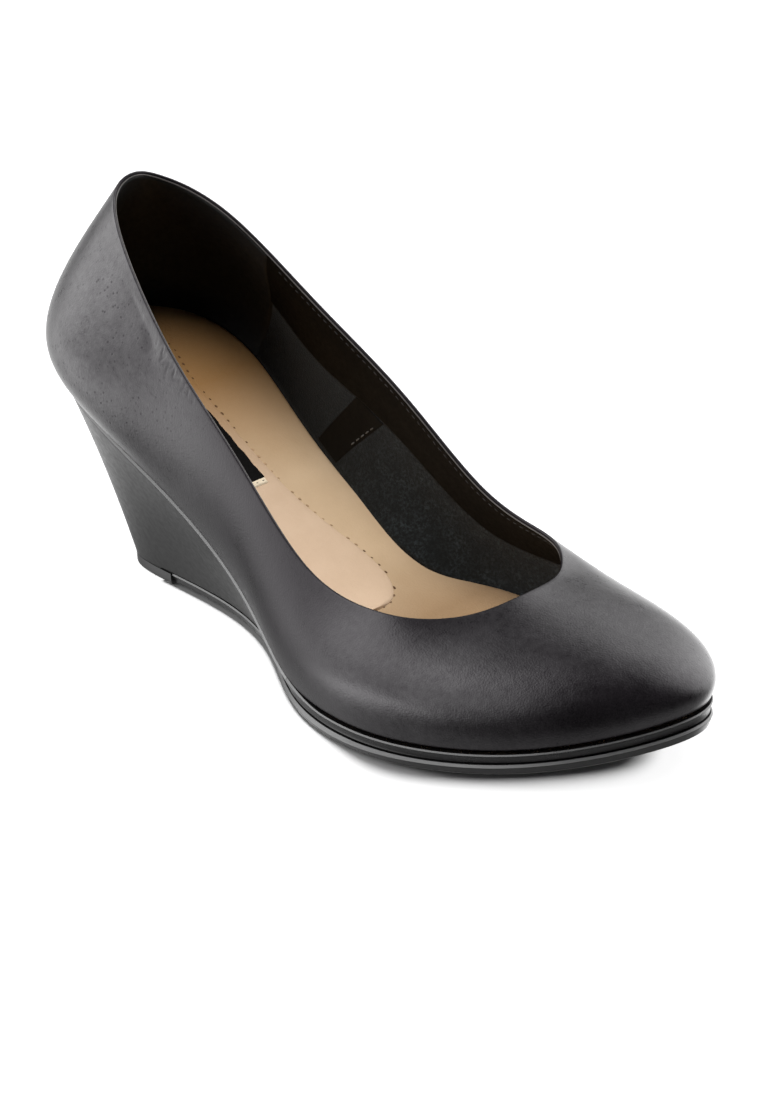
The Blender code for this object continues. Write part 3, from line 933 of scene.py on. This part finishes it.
def unitRings(kind):
    # rows down the side of the unit: bevelled upper edge, side blended from the feather line to the
    # tread line with a slight hollow, then a groove cut in above the outsole;
    # over the lift the groove runs out and the foot is flush
    u = np.linspace(0, ribCount, sole["columns"], endpoint=False)
    feather, tread = featherLine(u), treadLine(u)
    out, treadOut = planOut(featherLine, u), planOut(treadLine, u)
    along = feather[:, 0]
    opening = smoothStep(along, *strip["opens"]) if kind is strip else 0 * along
    drop = blend(wedge["drop"], strip["drop"], opening)
    ledge = blend(wedge["ledge"], strip["ledge"], opening)
    bevel = blend(*wedge["bevel"], smoothStep(along, *wedge["bevelFades"]))
    bevel = blend(bevel, strip["bevel"], opening)
    slotted = smoothStep(tread[:, 0], *wedge["slots"])
    groove = slotted * kind["groove"]
    footOut = blend(sole["liftOut"], -kind["footIn"], smoothStep(tread[:, 0], *sole["footFades"]))
    outs, downs = bevelRows(bevel, -65, 90)
    centre = feather + (ledge - outs[-1])[:, None] * out
    edgeHeight = featherHeight(along) - drop - rounding["curve"]
    foot = tread + footOut[:, None] * treadOut
    footHeight = outsoleBottom(foot[:, 0]) + sole["outsole"]
    footHeight = footHeight + blend(sole["overLift"], sole["overOutsole"], slotted)
    lip = raised(centre + outs[..., None] * out, edgeHeight - downs)
    tall = np.clip((edgeHeight - footHeight) / last["heelHeight"], 0, 1)
    share = np.linspace(0, 1, 42)[1:, None] * (1 - groove / (lip[-1, :, 2] - footHeight))
    hollow = sole["hollow"] * tall + strip["hollow"] * opening
    plan = blend(lip[-1, :, :2], foot, share[..., None])
    plan = plan - (4 * share * (1 - share) * hollow)[..., None] * out
    side = raised(plan, blend(lip[-1, :, 2], footHeight, share))
    back = raised(centre - sole["topInset"] * out, edgeHeight)
    recess = foot - blend(*sole["recess"], slotted)[:, None] * treadOut
    inner = foot - sole["inset"] * treadOut
    slot = [raised(recess, footHeight + groove), raised(recess, footHeight), raised(inner, footHeight)]
    return np.concatenate([back[None], lip, side, np.stack(slot)])


def outsoleRings():
    # rows down the side of the slab: bevelled bead at the top, broad at the ball and fine at the waist,
    # then a face that leans in to a small lower round
    u = np.linspace(0, ribCount, sole["columns"], endpoint=False)
    tread, out = treadLine(u), planOut(treadLine, u)
    atBall, atToe = smoothStep(tread[:, 0], *bead["ballFades"]), smoothStep(tread[:, 0], *bead["toeFades"])
    bevel = blend(blend(bead["waistBevel"], bead["ballBevel"], atBall), bead["toeBevel"], atToe)
    reach = blend(blend(bead["waistOut"], bead["ballOut"], atBall), bead["toeOut"], atToe)
    beadOut, beadDown = bevelRows(bevel, 0, 100)
    beadOut, beadDown = beadOut + reach - beadOut[-1], beadDown + rounding["curve"]
    t = np.linspace(0, 1, 8)[1:, None]
    foot = bead["footRound"]
    faceOut = blend(beadOut[-1], reach - bead["lean"], t)
    faceDown = blend(beadDown[-1], sole["outsole"] - foot, t)
    low = np.radians(np.linspace(15, 90, 6))[:, None]
    lowOut, lowDown = faceOut[-1] + foot * (np.cos(low) - 1), faceDown[-1] + foot * np.sin(low)
    inner = np.full((1, len(u)), -sole["inset"])
    outs = np.concatenate([inner, beadOut, faceOut, lowOut, inner])
    downs = np.concatenate([0 * inner, beadDown, faceDown, lowDown, 0 * inner + sole["outsole"]])
    plan = tread + outs[..., None] * out
    return raised(plan, outsoleBottom(plan[..., 0]) + sole["outsole"] - downs)


def liftRings():
    # rows down the side of the lift: flush with the wedge, rounding in towards the floor
    u = np.linspace(0, ribCount, sole["columns"], endpoint=False)
    tall = sole["outsole"] + sole["liftStep"]
    out, inset = sole["liftOut"], -sole["inset"]
    turn = np.radians(np.linspace(0, 90, 10))
    outs = np.concatenate([[inset, out, out], out - sole["liftTaper"] * (1 - np.cos(turn)), [inset]])
    lower = sole["liftRound"] * (1 - np.sin(turn))
    heights = np.concatenate([[tall, tall, tall - sole["liftFace"]], lower, [0]])
    plan = treadLine(u) + outs[:, None, None] * planOut(treadLine, u)
    return raised(plan, heights[:, None])


def solidPiece(name, rings, material, node):
    # closed solid from its rings, with rungs across top and foot; the bevel rows are marked for a painted
    # highlight
    rows, columns, _ = rings.shape
    top = rungFaces(0, columns)
    foot = rungFaces((rows - 1) * columns, columns)
    faces = np.concatenate([roundFaces(rows, columns)[:, ::-1], top, foot[:, ::-1]])
    mattAndPaintedHighlight = np.zeros((rows, columns))
    # these rows take the lighter grey of the painted highlight
    mattAndPaintedHighlight[6:10] = 1  # the rows of the bevel
    return newPiece(name, rings, faces, material, node, mattAndPaintedHighlight)


cutAcross(solidPiece("wedgeCover", unitRings(wedge), wedgeCalf, "wedge"),
          sole["wedgeFront"] - sole["cutGap"], False)
cutAcross(solidPiece("platformStrip", unitRings(strip), stripFinish, "platform"),
          sole["wedgeFront"] + sole["cutGap"], True)
cutAcross(solidPiece("outsoleRubber", outsoleRings(), rubber, "outsole"),
          sole["liftFront"] + sole["liftGap"], True)
cutAcross(solidPiece("heelLift", liftRings(), liftRubber, "heel_lift"),
          sole["liftFront"] - sole["liftGap"], False)

# the studio, in metres: a plain pale floor under soft light
studio = {"half": 4.0, "floorDrop": 0.0002, "paper": (0.22, 0.22, 0.22), "paperRough": 0.9, "dim": 0.001}


def flatSheet(name, front, height):
    # one level quad that ends at a place ahead of the shoe
    far = studio["half"]
    corners = [(-far, -far, height), (front, -far, height), (front, far, height), (-far, far, height)]
    mesh = bpy.data.meshes.new(name)
    mesh.from_pydata(corners, [], [(0, 1, 2, 3)])
    return mesh


paper, _, paperShader = startFinish("whitePaper", studio["paper"], studio["paperRough"])
paperShader.inputs["Specular IOR Level"].default_value = 0.0
floor = addObject("floor", flatSheet("floor", studio["half"], -studio["floorDrop"]))
floor.data.materials.append(paper)
floor.visible_glossy = False  # the gloss shows only the soft boxes
floor.visible_shadow = False

# soft studio light as round panels of the sky: azimuth from the near side towards the toe, elevation,
# angle of the even middle and of the faded edge, strength
panels = {
    "left": (-37, 20, 35, 59, 1.95),
    "leftBack": (-63, 42, 19, 45, 1.40),
    "rear": (165, 23, 6, 57, 3.0),
    "rearLow": (-149, -31, 4, 35, 1.9),
    "under": (-140, -69, 48, 72, 0.39),
    "toeTop": (-143, 38, 5, 13, 0.8),
}


def skyDirection(azimuth, elevation):
    # unit vector from two angles in degrees, azimuth 0 on the near side
    a, e = np.radians([azimuth, elevation])
    return (np.sin(a) * np.cos(e), -np.cos(a) * np.cos(e), np.sin(e))


world = bpy.data.worlds.new("studio")
bpy.context.scene.world = world
world.use_nodes = True
sky = world.node_tree
direction = addNode(sky, "TexCoord").outputs["Generated"]
light = studio["dim"]
for azimuth, elevation, inner, outer, strength in panels.values():
    middle = {1: skyDirection(azimuth, elevation)}
    towards = addNode(sky, "VectorMath", {0: direction}, middle, operation="DOT_PRODUCT").outputs["Value"]
    low, high = np.cos(np.radians([outer, inner])).tolist()
    light = combine(sky, "ADD", light, remap(sky, towards, low, high, 0.0, strength, "SMOOTHSTEP"))
sky.links.new(light, sky.nodes["Background"].inputs["Strength"])
sky.nodes["Background"].inputs["Color"].default_value = (1, 1, 1, 1)
bpy.context.scene.view_settings.view_transform = "Standard"

# card beside the shoe, in metres; its patch has a middle and an end of its reach both ways
cardLight = {"front": 0.4, "behind": (-0.09, -0.19), "behindGlow": 0.85,
             "patchX": (0.013, 0.055), "patchY": (-0.105, -0.070), "patchGlow": 3.8}


def glossCard():
    # card on the floor that only the gloss shows: brighter with distance behind the heel,
    # and a bell-shaped patch beside the ball
    finish = bpy.data.materials.new("cardGlow")
    finish.use_nodes = True
    tree = finish.node_tree
    tree.nodes.clear()
    where = addNode(tree, "SeparateXYZ", {"Vector": place(tree)})
    ranges = (*cardLight["behind"], 0.0, cardLight["behindGlow"])
    behind = remap(tree, where.outputs["X"], *ranges, "SMOOTHSTEP")
    away = 0.0
    for axis in "XY":
        off = remap(tree, where.outputs[axis], *cardLight["patch" + axis])
        off.node.clamp = False
        away = combine(tree, "ADD", away, combine(tree, "MULTIPLY", off, off))
    bell = combine(tree, "POWER", 2.718, combine(tree, "MULTIPLY", away, -1.0))
    patch = combine(tree, "MULTIPLY", bell, cardLight["patchGlow"])
    glow = addNode(tree, "Emission", {"Strength": combine(tree, "ADD", behind, patch)})
    clear = addNode(tree, "BsdfTransparent")
    both = addNode(tree, "AddShader", {0: glow.outputs["Emission"], 1: clear.outputs["BSDF"]})
    addNode(tree, "OutputMaterial", {"Surface": both.outputs["Shader"]})
    card = addObject("glossCard", flatSheet("glossCard", cardLight["front"], 0))
    card.data.materials.append(finish)
    card.visible_camera = card.visible_diffuse = card.visible_shadow = card.visible_transmission = False


def hungLamp(name, height, size, power):
    # round lamp straight above, which leaves no spot in the gloss
    lamp = bpy.data.lights.new(name, "AREA")
    lamp.shape, lamp.size, lamp.energy = "DISK", size, power
    hung = addObject(name, lamp)
    hung.location = (0, 0, height)
    hung.visible_glossy = False


flag = {"back": 38.0, "narrows": 165.0, "front": 222.0, "wider": 0.07, "widens": (150.0, 185.0),
        "low": 0.6, "high": 6.4, "rises": (140.0, 185.0), "columns": 240}


def treadFlag():
    # hidden sheet over the tread from heel to ball, higher and wider at the forefoot and closed
    # by an ellipse ahead, which keeps the light off the paper there
    ring = treadLine(np.linspace(0, ribCount, flag["columns"], endpoint=False))
    along = np.clip(ring[:, 0], flag["back"], flag["front"])
    height = blend(flag["low"], flag["high"], smoothStep(along, *flag["rises"]))
    ahead = np.clip((along - flag["narrows"]) / (flag["front"] - flag["narrows"]), 0, 1)
    share = (1 + flag["wider"] * smoothStep(along, *flag["widens"])) * np.sqrt(1 - ahead**2)
    across = swing(along) + (ring[:, 1] - swing(along)) * share
    points = np.stack([along, across, height], -1) - np.array(last["origin"])
    mesh = bpy.data.meshes.new("treadFlag")
    mesh.from_pydata((points / 1000).tolist(), [], rungFaces(0, flag["columns"]).tolist())
    sheet = addObject("treadFlag", mesh)
    sheet.visible_camera = sheet.visible_diffuse = sheet.visible_glossy = sheet.visible_transmission = False
    return sheet


def paperSun(azimuth, elevation, power, softness, blocker):
    # broad light for the paper alone, which only the flag keeps off it
    lamp = bpy.data.lights.new("paperSun", "SUN")
    lamp.energy, lamp.angle = power, np.radians(softness)
    sun = addObject("paperSun", lamp)
    sun.rotation_mode = "QUATERNION"
    sun.rotation_quaternion = Vector(skyDirection(azimuth, elevation)).to_track_quat("Z", "Y")
    lit, blocking = bpy.data.collections.new("paper"), bpy.data.collections.new("flags")
    lit.objects.link(floor)
    blocking.objects.link(blocker)
    sun.light_linking.receiver_collection = lit
    sun.light_linking.blocker_collection = blocking


lamps = {"overhead": (1.2, 0.7, 13.0), "sun": (-170, 58, 17.5, 60.0)}  # in the order of the two functions
glossCard()
hungLamp("overhead", *lamps["overhead"])
paperSun(*lamps["sun"], treadFlag())
print("studio ready")

# camera at the photograph's angle, rolled with its horizon
view = {"azimuth": 49.71, "elevation": 25.49, "roll": -3.57, "focal": 3118.7, "imageHeight": 1100,
        "sensor": 36.0, "distance": 878.9, "target": (124.53, -0.41, 32.57)}
back = np.array(skyDirection(view["azimuth"], view["elevation"]))
level = np.array([np.cos(np.radians(view["azimuth"])), np.sin(np.radians(view["azimuth"])), 0.0])
roll = np.radians(view["roll"])
upright = np.cross(back, level)
right = level * np.cos(roll) + upright * np.sin(roll)
upward = -level * np.sin(roll) + upright * np.cos(roll)
eye = (np.array(view["target"]) - np.array(last["origin"]) + back * view["distance"]) / 1000
lens = bpy.data.cameras.new("camera")
lens.sensor_width = view["sensor"]
lens.lens = view["focal"] * view["sensor"] / view["imageHeight"]
lens.clip_start = 0.01
camera = addObject("camera", lens)
axes = np.stack([right, upward, back, eye], 1)
camera.matrix_world = Matrix([*axes.tolist(), (0, 0, 0, 1)])
bpy.context.scene.camera = camera
